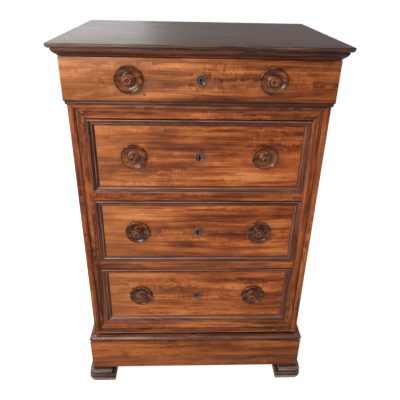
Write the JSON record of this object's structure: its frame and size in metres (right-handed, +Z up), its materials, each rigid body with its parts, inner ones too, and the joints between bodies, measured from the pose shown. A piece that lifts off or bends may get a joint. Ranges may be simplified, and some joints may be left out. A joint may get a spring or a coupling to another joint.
{
  "type": "chest of drawers",
  "caption": "Tall wooden chest with a flush frieze drawer over framed drawers, turned wooden knobs and keyhole discs, on a moulded plinth with block feet.",
  "frame": {"origin": "on the floor, under the middle of the chest: halfway across its width, and halfway between the front of its feet and its back", "axes": "+X to the right seen from the front, +Y to the back, +Z up; the drawers open towards -Y"},
  "size_m": [0.745, 0.5304, 1.138],
  "materials": {
    "mahogany": "streaked grain, french polish, worn satin",
    "red_mahogany": "redder plain grain, french polish, worn satin",
    "mahogany_top": "grey-brown, glossy polish with wear",
    "dark_moulding": "dark polish in the hollows, rubbed on the edges",
    "dark_feet": "dark polish, scuffed edges",
    "secondary_wood": "plain planed oak, unfinished",
    "turned_knobs": "dark glossy polish",
    "ebonised_wood": "ebonised, satin",
    "lock_iron": "dull filed iron"
  },
  "bodies": {
    "carcass": {"top_board": "mahogany_top", "top_moulding": "dark_moulding", "carcass_top": "secondary_wood", "side_left": "mahogany", "side_right": "mahogany", "back_panel": "secondary_wood", "bottom_board": "secondary_wood", "plinth_rail": "secondary_wood", "frieze_rail": "secondary_wood", "upper_rail": "red_mahogany", "lower_rail": "red_mahogany", "frame_left": "red_mahogany", "frame_right": "red_mahogany", "frame_top": "red_mahogany", "frame_bottom": "red_mahogany", "border_strip": "red_mahogany", "frieze_cove": "dark_moulding", "frieze_sides": "mahogany", "plinth_boards": "red_mahogany", "plinth_moulding": "dark_moulding", "front_feet": "dark_feet", "back_feet": "dark_feet", "drawer_runners": "secondary_wood", "drawer_guides": "secondary_wood", "drawer_stops": "secondary_wood"},
    "frieze_drawer": {"frieze_drawer_front": "mahogany", "frieze_drawer_sides": "secondary_wood", "frieze_drawer_back": "secondary_wood", "frieze_drawer_bottom": "secondary_wood", "frieze_drawer_knobs": "turned_knobs", "frieze_escutcheon": "ebonised_wood", "frieze_lock_case": "lock_iron"},
    "frieze_lock_bolt": {"frieze_lock_bolt": "lock_iron"},
    "upper_drawer": {"upper_drawer_front": "mahogany", "upper_drawer_moulding": "dark_moulding", "upper_drawer_sides": "secondary_wood", "upper_drawer_back": "secondary_wood", "upper_drawer_bottom": "secondary_wood", "upper_drawer_knobs": "turned_knobs", "upper_escutcheon": "ebonised_wood", "upper_lock_case": "lock_iron"},
    "upper_lock_bolt": {"upper_lock_bolt": "lock_iron"},
    "middle_drawer": {"middle_drawer_front": "mahogany", "middle_drawer_moulding": "dark_moulding", "middle_drawer_sides": "secondary_wood", "middle_drawer_back": "secondary_wood", "middle_drawer_bottom": "secondary_wood", "middle_drawer_knobs": "turned_knobs", "middle_escutcheon": "ebonised_wood", "middle_lock_case": "lock_iron"},
    "middle_lock_bolt": {"middle_lock_bolt": "lock_iron"},
    "lower_drawer": {"lower_drawer_front": "mahogany", "lower_drawer_moulding": "dark_moulding", "lower_drawer_sides": "secondary_wood", "lower_drawer_back": "secondary_wood", "lower_drawer_bottom": "secondary_wood", "lower_drawer_knobs": "turned_knobs", "lower_escutcheon": "ebonised_wood", "lower_lock_case": "lock_iron"},
    "lower_lock_bolt": {"lower_lock_bolt": "lock_iron"}
  },
  "joints": [
    {"name": "frieze_drawer_slide", "type": "slide", "parent": "carcass", "child": "frieze_drawer", "axis": [0, -1, 0], "range_m": [0, 0.32]},
    {"name": "frieze_bolt_throw", "type": "slide", "parent": "frieze_drawer", "child": "frieze_lock_bolt", "axis": [0, 0, 1], "range_m": [0, 0.008]},
    {"name": "upper_drawer_slide", "type": "slide", "parent": "carcass", "child": "upper_drawer", "axis": [0, -1, 0], "range_m": [0, 0.32]},
    {"name": "upper_bolt_throw", "type": "slide", "parent": "upper_drawer", "child": "upper_lock_bolt", "axis": [0, 0, 1], "range_m": [0, 0.008]},
    {"name": "middle_drawer_slide", "type": "slide", "parent": "carcass", "child": "middle_drawer", "axis": [0, -1, 0], "range_m": [0, 0.32]},
    {"name": "middle_bolt_throw", "type": "slide", "parent": "middle_drawer", "child": "middle_lock_bolt", "axis": [0, 0, 1], "range_m": [0, 0.008]},
    {"name": "lower_drawer_slide", "type": "slide", "parent": "carcass", "child": "lower_drawer", "axis": [0, -1, 0], "range_m": [0, 0.32]},
    {"name": "lower_bolt_throw", "type": "slide", "parent": "lower_drawer", "child": "lower_lock_bolt", "axis": [0, 0, 1], "range_m": [0, 0.008]}
  ]
}
